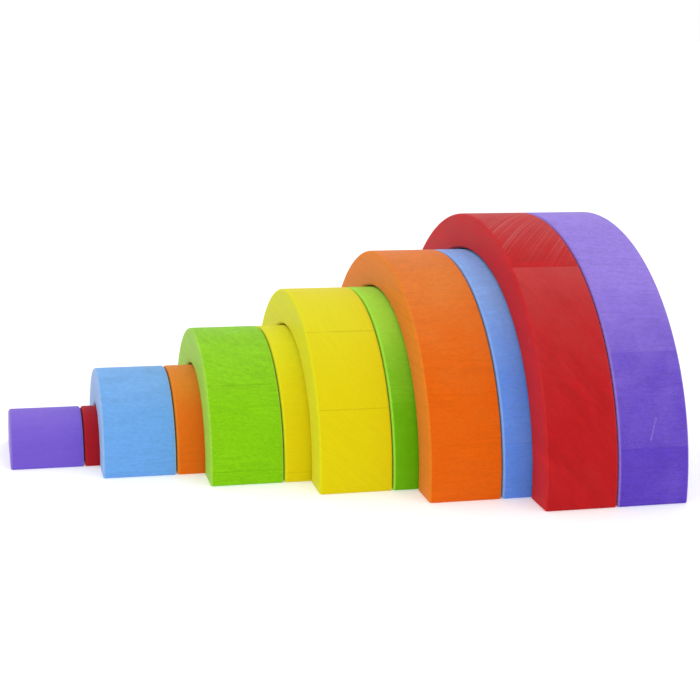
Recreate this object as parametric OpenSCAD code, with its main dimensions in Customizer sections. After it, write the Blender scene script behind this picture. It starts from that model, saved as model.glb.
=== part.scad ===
// Rainbow stacker: twelve loose wooden blocks in six sizes, two blocks to a size.
// The two blocks of a size stand face to face as a pair, and each smaller pair is
// tucked part of the way into the bore of the next larger one.
// X runs across the arches, Y along their common bore with the small end towards -Y,
// and Z up. The origin is on the ground, under the middle of the whole row.

/* [Blocks] */
// Radius of the two smallest blocks, which are solid half rounds
smallest_r = 24.5; // [15:0.5:40]
// Thickness of an arch, from its bore to its crown
arch_wall = 19.3; // [10:0.1:30]
// Length of one block along the bore
block_depth = 37.5; // [20:0.5:70]
// Radius of the eased edges along the curved faces
edge_round = 1.4; // [0.4:0.1:3]
// Width of the bevel round the underside of each foot
foot_bevel = 0.8; // [0.2:0.1:2]

/* [Fits] */
// Space all round between an arch and the next smaller one inside it
nest_gap = 0.8; // [0.5:0.1:3]
// Space between the two blocks of a pair
pair_gap = 0.5; // [0.3:0.1:2]

/* [Stance] */
// Length of the second pair that is tucked inside the largest
second_tuck = 23; // [10:0.5:36]
// Length of the third pair that is tucked inside the second
third_tuck = 25; // [10:0.5:36]
// Length of the fourth pair that is tucked inside the third
fourth_tuck = 24; // [10:0.5:36]
// Length of the fifth pair that is tucked inside the fourth
fifth_tuck = 23.5; // [10:0.5:36]
// Length of the smallest pair that is tucked inside the fifth
smallest_tuck = 30; // [10:0.5:36]

/* [Hidden] */
// Facets of the round faces
$fn = 128;
// How far a cutting shape runs past the face that it cuts
overrun = 1;
// Names of the six sizes
SIZES = ["largest", "second", "third", "fourth", "fifth", "smallest"];
// Length that each size's pair is tucked into the one before it
tucks = [0, second_tuck, third_tuck, fourth_tuck, fifth_tuck, smallest_tuck];
// Length of a pair, over both of its blocks
pair_depth = 2 * block_depth + pair_gap;
// Growth in radius from one size to the next
size_step = arch_wall + nest_gap;
// Place of a size in the two lists, counted from the largest
function place(size) = search([size], SIZES)[0];
// Outer radius of a size
function crown_r(size) = smallest_r + (place("smallest") - place(size)) * size_step;
// Radius of a size's bore, which is zero for the half rounds
function bore_r(size) = size == "smallest" ? 0 : crown_r(size) - arch_wall;
// Sum of the tucks from the largest down to a size
function tucked(size) = tucks * [for (at = [0 : len(tucks) - 1]) at <= place(size) ? 1 : 0];
// Distance that a size stands forward of the largest
function reach(size) = place(size) * pair_depth - tucked(size);
// Place along the bore of the joint between a pair's two blocks
function pair_y(size) = reach("smallest") / 2 - reach(size);

// Wall section of a block: radius along X, depth along Y, with its corners rounded
module wall_section(size) {
    inner = bore_r(size);
    outer = crown_r(size);
    // A half round reaches its axis, where it has no corners to round
    inner_round = inner > 0 ? edge_round : 0;
    translate([inner, inner_round])
        square([outer - inner - edge_round, block_depth - 2 * inner_round]);
    translate([inner + inner_round, 0])
        square([outer - inner - inner_round - edge_round, block_depth]);
    translate([outer - 2 * edge_round, edge_round])
        square([2 * edge_round, block_depth - 2 * edge_round]);
    for (end = [edge_round, block_depth - edge_round]) {
        translate([outer - edge_round, end])
            circle(r = edge_round);
        if (inner > 0)
            translate([inner + edge_round, end])
                circle(r = edge_round);
    }
}

// Half turn of the wall section about the Y axis, from y = 0 to y = -block_depth
module half_turn(size) {
    rotate([90, 0, 0])
        rotate_extrude(angle = 180)
            wall_section(size);
}

// Corner to cut from an edge on the ground, which runs a given length along +Y
module ground_corner(length) {
    side = foot_bevel + overrun;
    rotate([-90, 0, 0])
        linear_extrude(height = length)
            polygon([[overrun, overrun], [overrun, -side], [-side, overrun]]);
}

// Bevels round the underside of a block's feet
module foot_bevels(size) {
    length = block_depth + 2 * overrun;
    width = 2 * (crown_r(size) + overrun);
    for (side = [0, 1])
        mirror([side, 0, 0])
            translate([0, -block_depth - overrun, 0]) {
                translate([crown_r(size), 0, 0])
                    ground_corner(length);
                if (bore_r(size) > 0)
                    translate([bore_r(size), 0, 0])
                        mirror([1, 0, 0])
                            ground_corner(length);
            }
    for (end = [0, 1])
        translate([0, -block_depth / 2, 0])
            mirror([0, end, 0])
                translate([width / 2, block_depth / 2, 0])
                    rotate([0, 0, 90])
                        ground_corner(width);
}

// One block with its rear face at y = 0
module block(size) {
    difference() {
        half_turn(size);
        foot_bevels(size);
    }
}

// Front block of a pair, on the side of the small end
module front_block(size) {
    translate([0, pair_y(size) - pair_gap / 2, 0])
        block(size);
}

// Rear block of a pair
module rear_block(size) {
    translate([0, pair_y(size) + pair_gap / 2 + block_depth, 0])
        block(size);
}

module violet_largest_arch() {
    color("#7a45c8") rear_block("largest");
}

module red_largest_arch() {
    color("#c0141c") front_block("largest");
}

module blue_second_arch() {
    color("#4f93e0") rear_block("second");
}

module orange_second_arch() {
    color("#f07d10") front_block("second");
}

module green_third_arch() {
    color("#63bf12") rear_block("third");
}

module yellow_third_arch() {
    color("#f8e800") front_block("third");
}

module yellow_fourth_arch() {
    color("#f8e800") rear_block("fourth");
}

module green_fourth_arch() {
    color("#72cc20") front_block("fourth");
}

module orange_fifth_arch() {
    color("#f07d10") rear_block("fifth");
}

module blue_fifth_arch() {
    color("#5ba3ea") front_block("fifth");
}

module red_half_round() {
    color("#c0141c") rear_block("smallest");
}

module violet_half_round() {
    color("#8350c8") front_block("smallest");
}

violet_largest_arch();
red_largest_arch();
blue_second_arch();
orange_second_arch();
green_third_arch();
yellow_third_arch();
yellow_fourth_arch();
green_fourth_arch();
orange_fifth_arch();
blue_fifth_arch();
red_half_round();
violet_half_round();
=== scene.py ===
"""Dresses the rainbow stacker: twelve stained wooden blocks, a white floor, soft light and a camera.

Each block is swept to the size of its solid by a Geometry Nodes tree, and wears a solid-wood shader
of stacked boards, growth rings and stain. Lengths are in metres, unless a name ends in mm.
"""

import logging
import math
from dataclasses import dataclass
from enum import Enum

import bpy
from mathutils import Matrix, Vector


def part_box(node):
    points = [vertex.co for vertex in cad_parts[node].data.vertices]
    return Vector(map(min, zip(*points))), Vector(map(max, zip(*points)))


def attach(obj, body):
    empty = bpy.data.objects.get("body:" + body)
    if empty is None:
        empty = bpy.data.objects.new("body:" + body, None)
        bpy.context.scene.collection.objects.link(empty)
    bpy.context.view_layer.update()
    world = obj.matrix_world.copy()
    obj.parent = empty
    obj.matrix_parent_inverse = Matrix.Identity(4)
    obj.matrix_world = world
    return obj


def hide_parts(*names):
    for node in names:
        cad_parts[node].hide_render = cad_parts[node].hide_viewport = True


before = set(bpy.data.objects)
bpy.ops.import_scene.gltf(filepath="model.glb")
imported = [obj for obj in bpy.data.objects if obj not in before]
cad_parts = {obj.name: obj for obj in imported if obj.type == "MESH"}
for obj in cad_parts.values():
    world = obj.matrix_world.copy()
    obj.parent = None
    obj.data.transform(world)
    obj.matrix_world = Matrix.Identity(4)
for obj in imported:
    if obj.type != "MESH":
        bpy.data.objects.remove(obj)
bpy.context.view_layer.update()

MM = 0.001
LOG = logging.getLogger("stacker")

# Heights below and above every block, for a glue line that a block does not have
BELOW_MM = -100.0
ABOVE_MM = 200.0

Colour = tuple[float, float, float]
Triple = tuple[float, float, float]
Node = bpy.types.Node
Socket = bpy.types.NodeSocket
Tree = bpy.types.NodeTree
Feed = Socket | float | int | bool | str | tuple


class Stain(Enum):
    """The record's material slot for each stain."""

    VIOLET = "violet_stain"
    RED = "red_stain"
    BLUE = "blue_stain"
    ORANGE = "orange_stain"
    GREEN = "green_stain"
    YELLOW = "yellow_stain"


class Form(Enum):
    """The two forms that a block can have."""

    ARCH = "arch"
    HALF_ROUND = "half round"


class Wiring:
    """Adds nodes to one node tree and joins their sockets."""

    def __init__(self, tree: Tree) -> None:
        """Keeps the tree that the nodes go into."""
        self.tree = tree

    def put(self, socket: Socket, feed: Feed) -> None:
        """Links a socket to the one that feeds it, or sets its value.

        Args:
            socket: The input to feed.
            feed: An output socket, or a plain value.
        """
        if isinstance(feed, Socket):
            self.tree.links.new(feed, socket)
        else:
            socket.default_value = feed

    def node(self, kind: str, feeds: dict[str, Feed] | None = None, **settings: object) -> Node:
        """Adds a node.

        Args:
            kind: The node's type name.
            feeds: What goes into its inputs, by socket identifier or name.
            settings: Values of the node's own properties.

        Returns:
            The new node.
        """
        node = self.tree.nodes.new(kind)
        for name, value in settings.items():
            setattr(node, name, value)
        by_identifier = {socket.identifier: socket for socket in node.inputs}
        for name, feed in (feeds or {}).items():
            self.put(by_identifier.get(name) or node.inputs[name], feed)
        return node

    def math(self, operation: str, *feeds: Feed) -> Socket:
        """Adds a Math node.

        Args:
            operation: The node's operation.
            feeds: Its one, two or three values.

        Returns:
            The result's socket.
        """
        node = self.node("ShaderNodeMath", operation=operation)
        for socket, feed in zip(node.inputs, feeds):
            self.put(socket, feed)
        return node.outputs[0]

    def vectors(self, operation: str, first: Feed, second: Feed, result: int = 0) -> Socket:
        """Adds a Vector Math node of two vectors and returns its vector, or its value as result 1."""
        feeds = {"Vector": first, "Vector_001": second}
        return self.node("ShaderNodeVectorMath", feeds, operation=operation).outputs[result]

    def total(self, *feeds: Feed) -> Socket:
        """Adds up values.

        Args:
            feeds: Two or more values.

        Returns:
            The sum's socket.
        """
        result = feeds[0]
        for feed in feeds[1:]:
            result = self.math("ADD", result, feed)
        return result

    def product(self, *feeds: Feed) -> Socket:
        """Multiplies values.

        Args:
            feeds: Two or more values.

        Returns:
            The product's socket.
        """
        result = feeds[0]
        for feed in feeds[1:]:
            result = self.math("MULTIPLY", result, feed)
        return result

    def around(self, value: Feed, depth: Feed) -> Socket:
        """Swings a value of 0 to 1 about zero, over a given depth, and returns its socket."""
        return self.product(self.math("SUBTRACT", value, 0.5), depth)

    def ramp(self, value: Feed, low: Feed, high: Feed) -> Socket:
        """Adds a smooth step, from 0 at a low value to 1 at a high one, and returns its socket."""
        feeds = {"Value": value, "From Min": low, "From Max": high}
        return self.node("ShaderNodeMapRange", feeds, interpolation_type="SMOOTHSTEP").outputs[0]

    def scaled(self, vector: Feed, scale: Feed) -> Socket:
        """Multiplies a vector or colour by one value and returns its socket."""
        feeds = {"Vector": vector, "Scale": scale}
        return self.node("ShaderNodeVectorMath", feeds, operation="SCALE").outputs[0]

    def parts(self, vector: Feed) -> tuple[Socket, ...]:
        """Splits a vector and returns the sockets of its X, Y and Z."""
        return tuple(self.node("ShaderNodeSeparateXYZ", {"Vector": vector}).outputs)

    def joined(self, x: Feed, y: Feed, z: Feed) -> Socket:
        """Makes a vector of three values and returns its socket."""
        return self.node("ShaderNodeCombineXYZ", {"X": x, "Y": y, "Z": z}).outputs[0]

    def noise(self, vector: Feed, waves: Triple, detail: float = 2.0) -> Socket:
        """Adds noise that is finer along some axes than along others.

        Args:
            vector: Where the noise is read.
            waves: Waves per unit of length along X, Y and Z.
            detail: How many finer layers it has.

        Returns:
            The socket of the noise, from 0 to 1.
        """
        place = self.vectors("MULTIPLY", vector, waves)
        feeds = {"Vector": place, "Scale": 1.0, "Detail": detail}
        return self.node("ShaderNodeTexNoise", feeds).outputs[0]

    def mixed(self, share: Feed, first: Feed, second: Feed) -> Socket:
        """Blends two colours by the share of the second one, and returns the blend's socket."""
        feeds = {"Factor_Float": share, "A_Color": first, "B_Color": second}
        return self.node("ShaderNodeMix", feeds, data_type="RGBA").outputs[2]


@dataclass(frozen=True)
class Mark:
    """A small rubbed place, as a short line with a width.

    Attributes:
        start_mm: One end of the line.
        end_mm: The other end.
        width_mm: How far the mark reaches from the line.
    """

    start_mm: Triple
    end_mm: Triple
    width_mm: float


@dataclass(frozen=True)
class WoodFinish:
    """One block's stain and the run of its grain, with a painted sheen on its two flat faces.

    Attributes:
        stain: The record's slot; not used.
        deep: Colour of the end grain, which drinks the stain.
        pale: Colour of the curved face where it runs along the grain.
        flat: Colour of the two flat faces: their stain with a painted sheen and reflection, as they look at
            a grazing angle.
        seams_mm: Heights of the lower and the upper glue line, or one height twice.
        seam_depth: Darkness of the glue lines.
        board_shift: How much less stain each board takes than the one below it.
        tilt: Slope of the growth rings in the lowest board, in degrees.
        tilt_step: Change of that slope from one board to the next, in degrees.
        turn: Turn of the uppermost board's grain in plan, in degrees.
        ring_mm: Width of a growth ring.
        ring_depth: Contrast of the rings.
        ray_depth: Contrast of the fine flecks along the rings.
        streak_depth: Strength of the pale streaks at the crown of the uppermost board.
        mark: A rubbed place, where there is one.
    """

    stain: Stain
    deep: Colour
    pale: Colour
    flat: Colour
    seams_mm: tuple[float, float] = (BELOW_MM, ABOVE_MM)
    seam_depth: float = 0.3
    board_shift: float = 0.0
    tilt: float = 0.0
    tilt_step: float = 0.0
    turn: float = 0.0
    ring_mm: float = 1.6
    ring_depth: float = 0.10
    ray_depth: float = 0.08
    streak_depth: float = 0.0
    mark: Mark | None = None


FINISHES = {
    "violet_largest_arch": WoodFinish(
        Stain.VIOLET,
        deep=(0.105, 0.05, 0.48),
        pale=(0.28, 0.19, 0.66),
        flat=(0.28, 0.19, 0.66),
        seams_mm=(28.9, 72.5),
        seam_depth=0.03,
        board_shift=0.16,
        ring_mm=1.2,
        ring_depth=0.12,
        ray_depth=0.12,
        mark=Mark((117.4, 146.6, 42.8), (120.7, 143.2, 32.6), 0.7),
    ),
    "red_largest_arch": WoodFinish(
        Stain.RED,
        deep=(0.46, 0.009, 0.0115),
        pale=(0.49, 0.047, 0.047),
        flat=(0.54, 0.013, 0.016),
        seams_mm=(108.5, 108.5),
        seam_depth=0.06,
        board_shift=-0.40,
        tilt=-50.0,
        tilt_step=25.0,
        turn=-39.0,
        ring_mm=4.0,
        ring_depth=0.16,
        ray_depth=0.08,
        streak_depth=0.42,
        mark=Mark((91.0, 88.2, 77.6), (91.4, 88.2, 76.6), 0.8),
    ),
    "blue_second_arch": WoodFinish(
        Stain.BLUE,
        deep=(0.105, 0.26, 0.80),
        pale=(0.23, 0.41, 0.83),
        flat=(0.23, 0.41, 0.83),
        seams_mm=(27.8, ABOVE_MM),
        seam_depth=0.06,
        board_shift=0.12,
        ring_depth=0.09,
        ray_depth=0.09,
    ),
    "orange_second_arch": WoodFinish(
        Stain.ORANGE,
        deep=(0.73, 0.115, 0.001),
        pale=(0.70, 0.185, 0.026),
        flat=(0.75, 0.20, 0.010),
        seams_mm=(27.8, ABOVE_MM),
        seam_depth=0.08,
        ring_mm=1.4,
        ring_depth=0.10,
        ray_depth=0.08,
    ),
    "green_third_arch": WoodFinish(
        Stain.GREEN,
        deep=(0.125, 0.45, 0.001),
        pale=(0.35, 0.73, 0.05),
        flat=(0.35, 0.73, 0.05),
        seams_mm=(42.4, ABOVE_MM),
        seam_depth=0.05,
        board_shift=0.04,
        ring_depth=0.06,
        ray_depth=0.06,
    ),
    "yellow_third_arch": WoodFinish(
        Stain.YELLOW,
        deep=(0.71, 0.595, 0.001),
        pale=(0.715, 0.645, 0.01),
        flat=(0.72, 0.68, 0.005),
        seams_mm=(40.5, 72.9),
        seam_depth=0.2,
        tilt=-40.0,
        tilt_step=-20.0,
        ring_depth=0.05,
        ray_depth=0.03,
    ),
    "yellow_fourth_arch": WoodFinish(
        Stain.YELLOW,
        deep=(0.73, 0.60, 0.001),
        pale=(0.73, 0.70, 0.01),
        flat=(0.73, 0.70, 0.01),
        seams_mm=(5.1, ABOVE_MM),
        seam_depth=0.15,
        ring_depth=0.04,
        ray_depth=0.04,
    ),
    "green_fourth_arch": WoodFinish(
        Stain.GREEN,
        deep=(0.22, 0.56, 0.003),
        pale=(0.25, 0.575, 0.015),
        flat=(0.34, 0.64, 0.06),
        seams_mm=(7.2, 46.7),
        seam_depth=0.22,
        tilt=4.0,
        tilt_step=-8.0,
        ring_mm=2.0,
        ring_depth=0.13,
        ray_depth=0.11,
        mark=Mark((5.5, -49.1, 64.5), (2.7, -41.0, 64.6), 1.6),
    ),
    "orange_fifth_arch": WoodFinish(
        Stain.ORANGE,
        deep=(0.77, 0.14, 0.006),
        pale=(0.75, 0.225, 0.02),
        flat=(0.75, 0.225, 0.02),
        ring_depth=0.06,
        ray_depth=0.06,
    ),
    "blue_fifth_arch": WoodFinish(
        Stain.BLUE,
        deep=(0.141, 0.365, 0.785),
        pale=(0.175, 0.39, 0.75),
        flat=(0.30, 0.47, 0.76),
        seams_mm=(10.0, ABOVE_MM),
        seam_depth=0.04,
        ring_depth=0.10,
        ray_depth=0.09,
    ),
    "red_half_round": WoodFinish(
        Stain.RED,
        deep=(0.42, 0.010, 0.017),
        pale=(0.42, 0.010, 0.020),
        flat=(0.42, 0.010, 0.020),
        ring_depth=0.06,
        ray_depth=0.05,
    ),
    "violet_half_round": WoodFinish(
        Stain.VIOLET,
        deep=(0.175, 0.10, 0.59),
        pale=(0.21, 0.13, 0.62),
        flat=(0.27, 0.19, 0.62),
        ring_depth=0.06,
        ray_depth=0.05,
    ),
}


class WoodShader:
    """Solid stained wood as shader node groups, shared by the materials of all the blocks.

    The names that end in WAVES are waves per millimetre of a noise, along the three axes it is read on.
    """

    EDGE = "edge"
    WHITE = (1.0, 1.0, 1.0, 1.0)
    SHINE = 0.05
    SHEEN = 0.05
    SHEEN_ROUGHNESS = 0.5
    ROUGHNESS = 0.55
    BUMP_STRENGTH = 0.12
    BUMP_MM = 0.2

    # Boards: width of a glue line, and how far apart in the noise two boards are read
    SEAM_MM = 0.35
    APART_MM = 31.7
    BROKEN_WAVES = (0.12, 0.12, 0.02)

    # Grain, read along the fibre, along the rings and across them
    WAVER_MM = 6.0
    WAVER_WAVES = (0.01, 0.02, 0.02)
    RING_WAVES = (0.02, 0.06, 1.1)
    PATCH_WAVES = (0.02, 0.04, 0.07)
    RAY_WAVES = (0.03, 0.35, 1.4)
    STREAK_WAVES = (0.006, 1.9, 0.02)

    # Stain and wear: what share of raw wood is white, and how far edges and marks are rubbed
    MOTTLE_WAVES = (0.04, 0.06, 0.06)
    SPECKLE_WAVES = (0.9, 1.1, 1.4)
    WEAR_WAVES = (0.2, 0.2, 0.2)
    RUB_WAVES = (1.5, 1.5, 0.5)
    RAW_WHITE = 0.3
    EDGE_WEAR = 0.3
    MARK_WEAR = 0.25

    def __init__(self) -> None:
        """Builds the node groups, from the smallest effect to the whole wood."""
        self.boards = self.board_stack()
        self.grain = self.wood_grain()
        self.mark = self.rubbed_mark()
        self.wood = self.stained_wood()

    @staticmethod
    def group(name: str, inputs: dict[str, str], outputs: dict[str, str]) -> tuple[Wiring, dict, Node]:
        """Starts a shader node group.

        Args:
            name: The group's name.
            inputs: Kinds of its input sockets, by name.
            outputs: Kinds of its output sockets, by name.

        Returns:
            The group's wiring, its input sockets by name, and its output node.
        """
        tree = bpy.data.node_groups.new(name, "ShaderNodeTree")
        for way, sockets in (("INPUT", inputs), ("OUTPUT", outputs)):
            for socket, kind in sockets.items():
                tree.interface.new_socket(socket, in_out=way, socket_type=f"NodeSocket{kind}")
        wiring = Wiring(tree)
        entry = wiring.node("NodeGroupInput")
        return wiring, {socket: entry.outputs[socket] for socket in inputs}, wiring.node("NodeGroupOutput")

    def board_stack(self) -> Tree:
        """Builds the group that says which of three stacked boards a point is in, and how near a glue line.

        Returns:
            The group, whose lengths are in millimetres.
        """
        lengths = ("Lower Seam", "Upper Seam", "Line Width")
        wiring, feed, output = self.group(
            "Board stack",
            {"Place": "Vector", **dict.fromkeys(lengths, "Float")},
            {"Board": "Float", "Seam": "Float"})
        height = wiring.parts(feed["Place"])[2]
        seams = (feed["Lower Seam"], feed["Upper Seam"])
        above = [wiring.math("GREATER_THAN", height, seam) for seam in seams]
        away = [wiring.math("ABSOLUTE", wiring.math("SUBTRACT", height, seam)) for seam in seams]
        line = wiring.ramp(wiring.math("MINIMUM", *away), feed["Line Width"], 0.0)
        broken = wiring.ramp(wiring.noise(feed["Place"], self.BROKEN_WAVES), 0.25, 0.55)
        wiring.put(output.inputs["Board"], wiring.total(*above))
        wiring.put(output.inputs["Seam"], wiring.product(line, broken))
        return wiring.tree

    def wood_grain(self) -> Tree:
        """Builds the group of growth rings, flecks along them and pale streaks, with the grain along X.

        Returns:
            The group, whose lengths are in millimetres.
        """
        values = ("Board", "Tilt", "Tilt Step", "Turn", "Ring")
        wiring, feed, output = self.group(
            "Wood grain",
            {"Place": "Vector", **dict.fromkeys(values, "Float")},
            dict.fromkeys(("Rings", "Rays", "Streaks"), "Float"))
        x, y, z = wiring.parts(feed["Place"])
        uppermost = wiring.math("GREATER_THAN", feed["Board"], 1.5)
        fibre, side = self.turned(wiring, x, y, wiring.product(feed["Turn"], uppermost))
        slope = wiring.math("MULTIPLY_ADD", feed["Board"], feed["Tilt Step"], feed["Tilt"])
        along, across = self.turned(wiring, side, z, slope)
        apart = wiring.math("MULTIPLY_ADD", feed["Board"], self.APART_MM, along)
        spot = wiring.joined(fibre, apart, across)
        waver = wiring.around(wiring.noise(spot, self.WAVER_WAVES), self.WAVER_MM)
        count = wiring.math("DIVIDE", wiring.total(across, waver), feed["Ring"])
        rings = wiring.noise(wiring.joined(fibre, apart, count), self.RING_WAVES, 3.0)
        patch = wiring.ramp(wiring.noise(spot, self.PATCH_WAVES, 1.0), 0.35, 0.65)
        rays = wiring.noise(spot, self.RAY_WAVES, 3.0)
        streaks = wiring.noise(spot, self.STREAK_WAVES, 3.0)
        shown = wiring.around(wiring.ramp(rings, 0.3, 0.7), wiring.math("MULTIPLY_ADD", patch, 0.8, 0.2))
        wiring.put(output.inputs["Rings"], wiring.total(shown, 0.5))
        wiring.put(output.inputs["Rays"], wiring.ramp(rays, 0.3, 0.7))
        wiring.put(output.inputs["Streaks"], wiring.product(wiring.ramp(streaks, 0.5, 0.74), uppermost))
        return wiring.tree

    @staticmethod
    def turned(wiring: Wiring, first: Feed, second: Feed, degrees: Feed) -> tuple[Socket, Socket]:
        """Turns two coordinates in their plane.

        Args:
            wiring: The tree's wiring.
            first: The first coordinate.
            second: The second coordinate.
            degrees: How far the axes turn from the first towards the second.

        Returns:
            The sockets of both coordinates on the turned axes.
        """
        angle = wiring.math("RADIANS", degrees)
        cosine = wiring.math("COSINE", angle)
        sine = wiring.math("SINE", angle)
        ahead = wiring.math("MULTIPLY_ADD", second, sine, wiring.product(first, cosine))
        aside = wiring.math("SUBTRACT", wiring.product(second, cosine), wiring.product(first, sine))
        return ahead, aside

    def rubbed_mark(self) -> Tree:
        """Builds the group of a rubbed place round a short line.

        Returns:
            The group, whose lengths are in millimetres.
        """
        wiring, feed, output = self.group(
            "Rubbed mark",
            {**dict.fromkeys(("Place", "Start", "End"), "Vector"), "Width": "Float"},
            {"Mark": "Float"})
        line = wiring.vectors("SUBTRACT", feed["End"], feed["Start"])
        away = wiring.vectors("SUBTRACT", feed["Place"], feed["Start"])
        reach = wiring.vectors("DOT_PRODUCT", away, line, 1)
        share = wiring.math("DIVIDE", reach, wiring.vectors("DOT_PRODUCT", line, line, 1))
        share = wiring.math("MINIMUM", wiring.math("MAXIMUM", share, 0.0), 1.0)
        gap = wiring.vectors("DISTANCE", away, wiring.scaled(line, share), 1)
        rough = wiring.ramp(wiring.noise(feed["Place"], self.RUB_WAVES), 0.25, 0.6)
        wiring.put(output.inputs["Mark"], wiring.product(wiring.ramp(gap, feed["Width"], 0.0), rough))
        return wiring.tree

    def stained_wood(self) -> Tree:
        """Builds the group of the whole finish: stain on boards, with grain, glue lines, rubbed edges and a
        painted sheen on the flat faces.

        Returns:
            The group.
        """
        seams = ("Lower Seam", "Upper Seam")
        run = ("Tilt", "Tilt Step", "Turn", "Ring")
        depths = ("Seam Depth", "Board Shift", "Ring Depth", "Ray Depth", "Streak Depth")
        colours = dict.fromkeys(("Deep", "Pale", "Flat With Sheen"), "Color")
        values = dict.fromkeys((*seams, *run, *depths, "Edge", "Mark"), "Float")
        wiring, feed, output = self.group(
            "Stained wood",
            {"Place": "Vector", "Normal": "Vector", **colours, **values},
            {"Color": "Color", "Roughness": "Float", "Height": "Float"})
        place = feed["Place"]
        boards = wiring.node("ShaderNodeGroup", node_tree=self.boards)
        grain = wiring.node("ShaderNodeGroup", node_tree=self.grain)
        for node, names in ((boards, ("Place", *seams)), (grain, ("Place", *run))):
            for name in names:
                wiring.put(node.inputs[name], feed[name])
        wiring.put(boards.inputs["Line Width"], self.SEAM_MM)
        board = boards.outputs["Board"]
        wiring.put(grain.inputs["Board"], board)
        across, aside, _ = (wiring.math("ABSOLUTE", part) for part in wiring.parts(feed["Normal"]))
        end_grain = wiring.ramp(across, 0.3, 1.0)
        curved = wiring.ramp(aside, 0.7, 0.2)
        seam = wiring.product(boards.outputs["Seam"], curved)
        rings = grain.outputs["Rings"]
        rays = grain.outputs["Rays"]
        crown = wiring.ramp(across, 0.6, 0.1)
        streaks = wiring.product(grain.outputs["Streaks"], curved, crown)
        mottle = wiring.noise(place, self.MOTTLE_WAVES, 4.0)
        speckle = wiring.ramp(wiring.noise(place, self.SPECKLE_WAVES, 1.0), 0.25, 0.75)
        drunk = wiring.total(
            end_grain,
            wiring.around(mottle, 0.6),
            wiring.around(speckle, 0.2),
            wiring.product(board, feed["Board Shift"], -1.0))
        tone = wiring.total(
            1.0,
            wiring.around(rings, feed["Ring Depth"]),
            wiring.around(rays, feed["Ray Depth"]),
            wiring.around(speckle, feed["Ray Depth"]),
            wiring.product(seam, feed["Seam Depth"], -1.0))
        raw = wiring.mixed(self.RAW_WHITE, feed["Pale"], self.WHITE)
        # The flat faces take their own colour: stain with a painted sheen and reflection, paler than the
        # curved face on most blocks
        stain = wiring.mixed(curved, feed["Flat With Sheen"], wiring.mixed(drunk, feed["Pale"], feed["Deep"]))
        colour = wiring.scaled(stain, tone)
        colour = wiring.mixed(wiring.product(streaks, feed["Streak Depth"]), colour, raw)
        wear = wiring.ramp(wiring.noise(place, self.WEAR_WAVES), 0.2, 0.8)
        colour = wiring.mixed(wiring.product(feed["Edge"], wear, self.EDGE_WEAR), colour, feed["Pale"])
        colour = wiring.mixed(wiring.product(feed["Mark"], self.MARK_WEAR), colour, raw)
        roughness = wiring.total(self.ROUGHNESS, wiring.around(mottle, 0.12), wiring.around(rings, 0.1))
        height = wiring.total(
            wiring.product(rings, 0.5),
            wiring.product(rays, 0.5),
            wiring.product(seam, -1.0))
        wiring.put(output.inputs["Color"], colour)
        wiring.put(output.inputs["Roughness"], roughness)
        wiring.put(output.inputs["Height"], height)
        return wiring.tree

    def marked(self, wiring: Wiring, place: Socket, mark: Mark) -> Socket:
        """Adds a rubbed place to a material's wiring and returns the socket of its strength."""
        feeds = {"Place": place, "Start": mark.start_mm, "End": mark.end_mm, "Width": mark.width_mm}
        return wiring.node("ShaderNodeGroup", feeds, node_tree=self.mark).outputs["Mark"]

    def material(self, name: str, finish: WoodFinish) -> bpy.types.Material:
        """Makes one block's material.

        Args:
            name: The material's name.
            finish: The block's stain and grain.

        Returns:
            The material.
        """
        material = bpy.data.materials.new(name)
        material.use_nodes = True
        wiring = Wiring(material.node_tree)
        coordinates = wiring.node("ShaderNodeTexCoord")
        place = wiring.scaled(coordinates.outputs["Object"], 1.0 / MM)
        edge = wiring.node("ShaderNodeAttribute", attribute_name=self.EDGE)
        feeds = {
            "Place": place,
            "Normal": coordinates.outputs["Normal"],
            "Edge": edge.outputs["Fac"],
            "Deep": (*finish.deep, 1.0),
            "Pale": (*finish.pale, 1.0),
            "Flat With Sheen": (*finish.flat, 1.0),
            "Lower Seam": finish.seams_mm[0],
            "Upper Seam": finish.seams_mm[1],
            "Seam Depth": finish.seam_depth,
            "Board Shift": finish.board_shift,
            "Tilt": finish.tilt,
            "Tilt Step": finish.tilt_step,
            "Turn": finish.turn,
            "Ring": finish.ring_mm,
            "Ring Depth": finish.ring_depth,
            "Ray Depth": finish.ray_depth,
            "Streak Depth": finish.streak_depth,
        }
        if finish.mark is not None:
            feeds["Mark"] = self.marked(wiring, place, finish.mark)
        wood = wiring.node("ShaderNodeGroup", feeds, node_tree=self.wood)
        bump = wiring.node("ShaderNodeBump", {
            "Height": wood.outputs["Height"],
            "Strength": self.BUMP_STRENGTH,
            "Distance": self.BUMP_MM * MM,
        })
        shader = material.node_tree.nodes["Principled BSDF"].inputs
        wiring.put(shader["Base Color"], wood.outputs["Color"])
        wiring.put(shader["Roughness"], wood.outputs["Roughness"])
        wiring.put(shader["Normal"], bump.outputs["Normal"])
        wiring.put(shader["Specular IOR Level"], self.SHINE)
        wiring.put(shader["Sheen Weight"], self.SHEEN)
        wiring.put(shader["Sheen Roughness"], self.SHEEN_ROUGHNESS)
        return material


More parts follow.
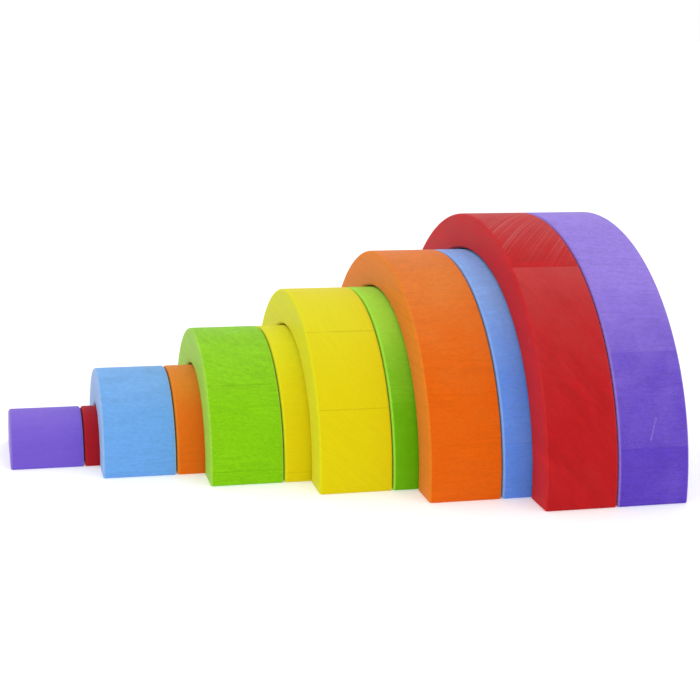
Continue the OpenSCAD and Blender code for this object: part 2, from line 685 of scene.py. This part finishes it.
class ArchSweep:
    """Geometry Nodes tree that sweeps a block's rounded wall section round a half turn over the ground."""

    SIZES = ("Bore Radius", "Crown Radius", "Depth", "Middle", "Edge Round", "Bore Edge Round")
    STEPS = ("Turn Steps", "Edge Steps")
    FOOT_REACH = 0.3 * MM
    MERGE_REACH = 0.01 * MM

    def __init__(self) -> None:
        """Builds the tree: its inputs, then the section, the sweep and the feet."""
        self.tree = bpy.data.node_groups.new("Arch sweep", "GeometryNodeTree")
        self.tree.is_modifier = True
        sizes = dict.fromkeys(self.SIZES, "Float")
        steps = dict.fromkeys(self.STEPS, "Int")
        kinds = {"Geometry": "Geometry", **sizes, **steps, "Finish": "Material"}
        for name, kind in kinds.items():
            self.tree.interface.new_socket(name, in_out="INPUT", socket_type=f"NodeSocket{kind}")
        self.tree.interface.new_socket("Geometry", in_out="OUTPUT", socket_type="NodeSocketGeometry")
        self.wiring = Wiring(self.tree)
        self.feed = self.wiring.node("NodeGroupInput").outputs
        swept = self.swept(self.section())
        self.wiring.node("NodeGroupOutput", {"Geometry": self.finished(swept)})

    def section(self) -> Socket:
        """Draws the wall section with eased corners, and stores how far round a corner each point is.

        Returns:
            The socket of the section's curve.
        """
        wiring = self.wiring
        depth = self.feed["Depth"]
        wall = wiring.math("SUBTRACT", self.feed["Crown Radius"], self.feed["Bore Radius"])
        x, y, _ = wiring.parts(wiring.node("GeometryNodeInputPosition").outputs[0])
        outer = wiring.math("GREATER_THAN", x, 0.0)
        more = wiring.math("SUBTRACT", self.feed["Edge Round"], self.feed["Bore Edge Round"])
        radius = wiring.math("MULTIPLY_ADD", outer, more, self.feed["Bore Edge Round"])
        square = wiring.node("GeometryNodeCurvePrimitiveQuadrilateral", {"Width": wall, "Height": depth})
        corners = {"Curve": square.outputs[0], "Count": self.feed["Edge Steps"], "Radius": radius}
        eased = wiring.node("GeometryNodeFilletCurve", corners, mode="POLY")
        past_x = wiring.math("SUBTRACT", wiring.math("ABSOLUTE", x), wiring.product(wall, 0.5))
        past_y = wiring.math("SUBTRACT", wiring.math("ABSOLUTE", y), wiring.product(depth, 0.5))
        corner = wiring.total(wiring.math("MINIMUM", past_x, past_y), radius)
        bend = wiring.math("DIVIDE", corner, wiring.product(radius, math.sqrt(0.5)))
        edge = wiring.math("MAXIMUM", bend, 0.0)
        stored = wiring.node("GeometryNodeStoreNamedAttribute", {
            "Geometry": eased.outputs[0],
            "Name": WoodShader.EDGE,
            "Value": edge,
        }, data_type="FLOAT", domain="POINT")
        return stored.outputs[0]

    def swept(self, section: Socket) -> Socket:
        """Sweeps a section round a half circle and stands it upright.

        Args:
            section: The socket of the section's curve.

        Returns:
            The socket of the upright mesh.
        """
        wiring = self.wiring
        across = wiring.total(self.feed["Bore Radius"], self.feed["Crown Radius"])
        path = wiring.node("GeometryNodeCurveArc", {
            "Resolution": self.feed["Turn Steps"],
            "Radius": wiring.product(across, 0.5),
            "Start Angle": 0.0,
            "Sweep Angle": math.pi,
        }, mode="RADIUS")
        arch = wiring.node("GeometryNodeCurveToMesh", {
            "Curve": path.outputs[0],
            "Profile Curve": section,
            "Fill Caps": True,
        })
        upright = wiring.node("GeometryNodeTransform", {
            "Geometry": arch.outputs[0],
            "Translation": wiring.joined(0.0, self.feed["Middle"], 0.0),
            "Rotation": (math.radians(90), 0.0, 0.0),
        })
        return upright.outputs[0]

    def finished(self, mesh: Socket) -> Socket:
        """Flattens the feet on the ground, closes the mesh and gives it its finish.

        Args:
            mesh: The socket of the upright mesh.

        Returns:
            The socket of the finished mesh.
        """
        wiring = self.wiring
        x, y, z = wiring.parts(wiring.node("GeometryNodeInputPosition").outputs[0])
        low = wiring.math("LESS_THAN", z, self.FOOT_REACH)
        ground = {"Geometry": mesh, "Selection": low, "Position": wiring.joined(x, y, 0.0)}
        footed = wiring.node("GeometryNodeSetPosition", ground)
        merge = {"Geometry": footed.outputs[0], "Distance": self.MERGE_REACH}
        merged = wiring.node("GeometryNodeMergeByDistance", merge)
        shade = {"Geometry": merged.outputs[0], "Shade Smooth": True}
        smooth = wiring.node("GeometryNodeSetShadeSmooth", shade)
        real = wiring.node("GeometryNodeRealizeInstances", {"Geometry": smooth.outputs[0]})
        finish = {"Geometry": real.outputs[0], "Material": self.feed["Finish"]}
        return wiring.node("GeometryNodeSetMaterial", finish).outputs[0]

    def identifiers(self) -> dict[str, str]:
        """Gives the identifier of each of the tree's inputs, by name."""
        items = self.tree.interface.items_tree
        return {item.name: item.identifier for item in items if item.in_out == "INPUT"}


@dataclass
class Block:
    """One wooden block, at the size and place of its solid.

    Attributes:
        node: The solid's name, which is also its body's.
        form: Arch or half round.
        finish: Its stain and grain; not used.
        bore: Radius of the bore, which is zero for a half round.
        crown: Outer radius.
        depth: Length along the bore.
        middle: Middle of that length along Y.
        edge_round: Radius of the eased edges.
        foot_bevel: Width of the bevel round the underside.
        turn_steps: Points along the half circle.
        edge_steps: Points along each eased edge.
        foot_steps: Faces across the bevel round the underside.
        foot_angle: Sharpest bend that gets no bevel, in degrees.
        face_weight: How far large faces lead the shading of the edges beside them.
    """

    node: str
    form: Form
    finish: WoodFinish
    bore: float
    crown: float
    depth: float
    middle: float
    edge_round: float = 1.4 * MM
    foot_bevel: float = 0.8 * MM
    turn_steps: int = 129
    edge_steps: int = 6
    foot_steps: int = 3
    foot_angle: float = 50.0
    face_weight: int = 100

    @classmethod
    def from_frame(cls, node: str, finish: WoodFinish) -> "Block":
        """Reads a block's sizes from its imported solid.

        Args:
            node: The solid's name.
            finish: The block's stain and grain.

        Returns:
            The block.
        """
        low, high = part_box(node)
        form = Form.HALF_ROUND if node.endswith("half_round") else Form.ARCH
        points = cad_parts[node].data.vertices
        bore = min(math.hypot(point.co.x, point.co.z) for point in points) if form is Form.ARCH else 0.0
        return cls(node, form, finish, bore, high.x, high.y - low.y, (low.y + high.y) / 2)

    def build(self, sweep: ArchSweep, material: bpy.types.Material) -> bpy.types.Object:
        """Sweeps the block's mesh and finishes its edges.

        Args:
            sweep: The tree that sweeps it.
            material: Its finish.

        Returns:
            The block's object, with a plain mesh at the origin.
        """
        block = bpy.data.objects.new(f"{self.node}_wood", bpy.data.meshes.new(f"{self.node}_start"))
        bpy.context.scene.collection.objects.link(block)
        modifier = block.modifiers.new("Sweep", "NODES")
        modifier.node_group = sweep.tree
        values = {
            "Bore Radius": self.bore,
            "Crown Radius": self.crown,
            "Depth": self.depth,
            "Middle": self.middle,
            "Edge Round": self.edge_round,
            "Bore Edge Round": self.edge_round if self.form is Form.ARCH else 0.0,
            "Turn Steps": self.turn_steps,
            "Edge Steps": self.edge_steps,
            "Finish": material,
        }
        identifiers = sweep.identifiers()
        for name, value in values.items():
            modifier[identifiers[name]] = value
        bevel = block.modifiers.new("Foot bevel", "BEVEL")
        bevel.width = self.foot_bevel
        bevel.segments = self.foot_steps
        bevel.limit_method = "ANGLE"
        bevel.angle_limit = math.radians(self.foot_angle)
        normals = block.modifiers.new("Face normals", "WEIGHTED_NORMAL")
        normals.weight = self.face_weight
        graph = bpy.context.evaluated_depsgraph_get()
        shaped = block.evaluated_get(graph)
        mesh = bpy.data.meshes.new_from_object(shaped, preserve_all_data_layers=True, depsgraph=graph)
        block.modifiers.clear()
        block.data = mesh
        return block

    def dress(self, block: bpy.types.Object) -> None:
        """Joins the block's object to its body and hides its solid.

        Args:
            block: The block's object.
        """
        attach(block, self.node)
        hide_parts(self.node)


@dataclass(frozen=True)
class Studio:
    """The white floor and the soft light over it.

    Attributes:
        floor_size: Side of the floor.
        floor_colour: Brightness of the floor.
        floor_roughness: Roughness of the floor.
        floor_glow: Light that the floor gives of itself, so that it shows as white as lit paper.
        sky: Strength of the white surroundings.
        box_size: Side of the square light overhead.
        box_height: Its height over the floor.
        box_power: Its power in watts.
    """

    floor_size: float = 12.0
    floor_colour: float = 0.9
    floor_roughness: float = 0.7
    floor_glow: float = 0.2
    sky: float = 1.0
    box_size: float = 1.6
    box_height: float = 1.5
    box_power: float = 4.0

    def build(self) -> None:
        """Makes the floor, the surroundings and the light, and keeps colours as they are."""
        self.floor()
        self.surroundings()
        self.light()
        bpy.context.scene.view_settings.view_transform = "Standard"

    def floor(self) -> None:
        """Makes the floor of white paper."""
        half = self.floor_size / 2
        corners = [(-half, -half, 0), (half, -half, 0), (half, half, 0), (-half, half, 0)]
        mesh = bpy.data.meshes.new("floor")
        mesh.from_pydata(corners, [], [(0, 1, 2, 3)])
        floor = bpy.data.objects.new("floor", mesh)
        bpy.context.scene.collection.objects.link(floor)
        paper = bpy.data.materials.new("white_paper")
        paper.use_nodes = True
        shader = paper.node_tree.nodes["Principled BSDF"].inputs
        shader["Base Color"].default_value = (self.floor_colour, self.floor_colour, self.floor_colour, 1.0)
        shader["Roughness"].default_value = self.floor_roughness
        shader["Emission Color"].default_value = WoodShader.WHITE
        shader["Emission Strength"].default_value = self.floor_glow
        mesh.materials.append(paper)

    def surroundings(self) -> None:
        """Makes the white room all round."""
        world = bpy.data.worlds.new("white_room")
        world.use_nodes = True
        background = world.node_tree.nodes["Background"].inputs
        background["Color"].default_value = WoodShader.WHITE
        background["Strength"].default_value = self.sky
        bpy.context.scene.world = world

    def light(self) -> None:
        """Hangs the square light overhead."""
        box = bpy.data.lights.new("overhead_box", "AREA")
        box.size = self.box_size
        box.energy = self.box_power
        light = bpy.data.objects.new("overhead_box", box)
        light.location = (0.0, 0.0, self.box_height)
        bpy.context.scene.collection.objects.link(light)


@dataclass(frozen=True)
class PhotoCamera:
    """The camera, at the photograph's place and angle.

    Attributes:
        place: Where it stands.
        yaw: Turn from the -X direction towards +Y, in degrees.
        pitch: Downward tilt, in degrees.
        roll: Turn about the line of sight, in degrees.
        lens: Focal length in millimetres.
        sensor: Width of the sensor in millimetres.
        shift: Sideways and upward shift of the frame, as shares of its width.
    """

    place: Triple = (0.72672, -0.17771, 0.24650)
    yaw: float = 12.992
    pitch: float = 12.961
    roll: float = 1.385
    lens: float = 72.52
    sensor: float = 36.0
    shift: tuple[float, float] = (0.0780, -0.0574)

    def build(self) -> None:
        """Makes the camera and puts it in use."""
        yaw = math.radians(self.yaw)
        pitch = math.radians(self.pitch)
        sight = Vector((-math.cos(yaw) * math.cos(pitch), math.sin(yaw) * math.cos(pitch), -math.sin(pitch)))
        level = sight.cross(Vector((0, 0, 1))).normalized()
        right = Matrix.Rotation(math.radians(-self.roll), 3, sight) @ level
        axes = Matrix((right, right.cross(sight), -sight)).transposed()
        data = bpy.data.cameras.new("photo_camera")
        data.sensor_width = self.sensor
        data.lens = self.lens
        data.shift_x, data.shift_y = self.shift
        camera = bpy.data.objects.new("photo_camera", data)
        camera.matrix_world = Matrix.Translation(self.place) @ axes.to_4x4()
        bpy.context.scene.collection.objects.link(camera)
        bpy.context.scene.camera = camera


def main() -> None:
    """Builds the stage, the camera and the blocks."""
    logging.basicConfig(level=logging.INFO, format="%(message)s")
    Studio().build()
    PhotoCamera().build()
    shader = WoodShader()
    sweep = ArchSweep()
    for node, finish in FINISHES.items():
        block = Block.from_frame(node, finish)
        piece = block.build(sweep, shader.material(f"{node}_finish", finish))
        block.dress(piece)
        LOG.info("%s: %s, %d faces", piece.name, block.form.value, len(piece.data.polygons))


if __name__ == "__main__":
    main()
